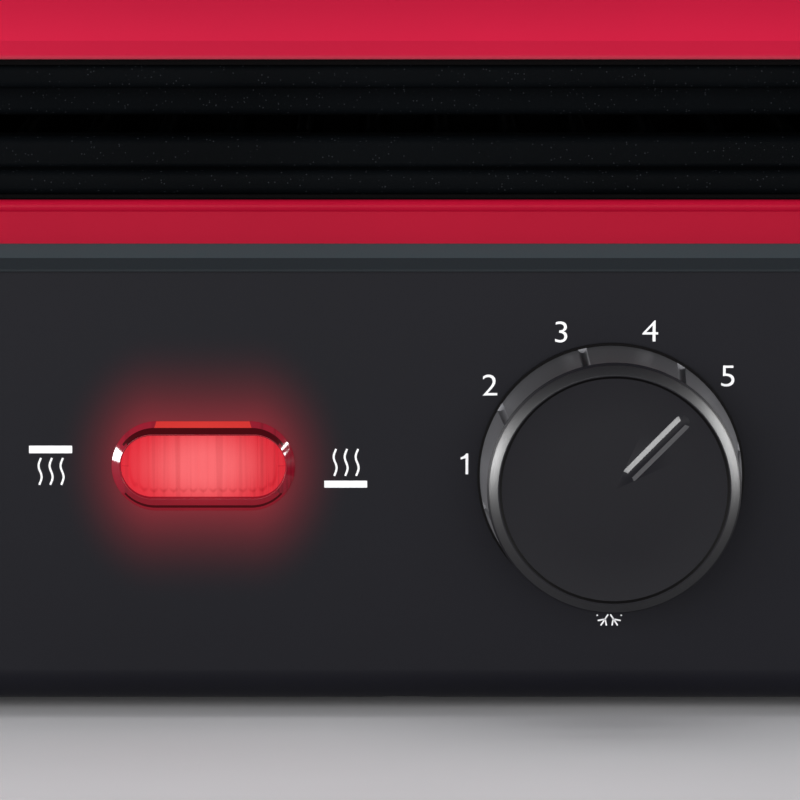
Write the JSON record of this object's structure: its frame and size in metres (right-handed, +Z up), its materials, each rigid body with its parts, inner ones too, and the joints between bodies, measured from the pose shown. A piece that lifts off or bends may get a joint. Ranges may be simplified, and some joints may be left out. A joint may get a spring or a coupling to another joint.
{
  "type": "contact grill",
  "caption": "Electric contact grill with ribbed non-stick plates, a red lid on a floating slotted hinge, a front thermostat knob, a pilot light and a side drip tray.",
  "frame": {"origin": "on the table, under the middle of the closed grill's box", "axes": "+Z up, -Y towards the cook, where the controls face, +X to the cook's right"},
  "size_m": [0.322, 0.324, 0.136],
  "materials": {
    "graphite_plastic": "satin, moulded",
    "deck_plastic": "satin, moulded",
    "red_gloss": "gloss, moulded",
    "rim_red": "gloss, moulded",
    "nonstick_cast": "dark non-stick coating with fine speckle",
    "element_sheath": "heat-stained",
    "spring_steel": "plain",
    "shield_sheet": "pressed sheet",
    "fuse_ceramic": "matte",
    "zinc_steel": "zinc plated",
    "bright_steel": "turned",
    "foot_rubber": "matte",
    "cream_resin": "matte",
    "copper_tube": "drawn copper",
    "lens_red": "clear red, lit from behind",
    "lamp_glow": "glowing",
    "holder_white": "matte",
    "arm_metal": "black paint on a die casting",
    "frame_black": "matte",
    "handle_black": "satin",
    "knob_black": "satin",
    "tray_black": "satin"
  },
  "bodies": {
    "base": {"base_tub": "graphite_plastic", "control_panel": "graphite_plastic", "base_deck": "deck_plastic", "base_rim": "rim_red", "lower_plate": "nonstick_cast", "lower_element": "element_sheath", "lower_element_clips": "spring_steel", "lower_shield": "shield_sheet", "lower_fuse": "fuse_ceramic", "lower_plate_screws": "zinc_steel", "rim_screws": "zinc_steel", "base_screws": "zinc_steel", "base_feet": "foot_rubber", "thermostat_body": "cream_resin", "thermostat_bracket": "zinc_steel", "thermostat_screws": "zinc_steel", "thermostat_sensor": "copper_tube", "indicator_lens": "lens_red", "indicator_lamp": "lamp_glow", "lamp_holder": "holder_white", "terminal_block": "cream_resin", "terminal_screws": "zinc_steel", "cord_gland": "foot_rubber", "grease_duct": "shield_sheet", "hinge_bracket_left": "arm_metal", "hinge_bracket_right": "arm_metal", "bracket_screws": "zinc_steel", "hinge_pins": "bright_steel", "hinge_rings": "spring_steel"},
    "hinge_carrier": {"hinge_sliders": "holder_white"},
    "lid": {"lid_shell": "red_gloss", "lid_frame": "frame_black", "upper_plate": "nonstick_cast", "upper_element": "element_sheath", "upper_element_clips": "spring_steel", "upper_shield": "shield_sheet", "upper_fuse": "fuse_ceramic", "upper_plate_screws": "zinc_steel", "lid_screws": "zinc_steel", "lid_arm_left": "arm_metal", "lid_arm_right": "arm_metal", "arm_screws": "zinc_steel", "handle_top": "handle_black", "handle_bottom": "handle_black", "handle_rod": "bright_steel", "handle_nuts": "zinc_steel"},
    "knob": {"thermostat_knob": "knob_black", "thermostat_shaft": "bright_steel", "knob_clip": "spring_steel"},
    "tray": {"drip_tray": "tray_black"}
  },
  "joints": [
    {"name": "lid_hinge", "type": "hinge", "parent": "base", "child": "hinge_carrier", "pos_m": [0, 0.153, 0.08105], "axis": [-1, 0, 0], "range_deg": [0, 180]},
    {"name": "lid_float", "type": "slide", "parent": "hinge_carrier", "child": "lid", "axis": [0, 0, 1], "range_m": [0, 0.018]},
    {"name": "knob_turn", "type": "hinge", "parent": "base", "child": "knob", "pos_m": [0.028, -0.1252, 0.0343], "axis": [0, -1, 0], "range_deg": [-5, 225]},
    {"name": "drip_tray_slide", "type": "slide", "parent": "base", "child": "tray", "axis": [1, 0, 0], "range_m": [0, 0.11]}
  ]
}
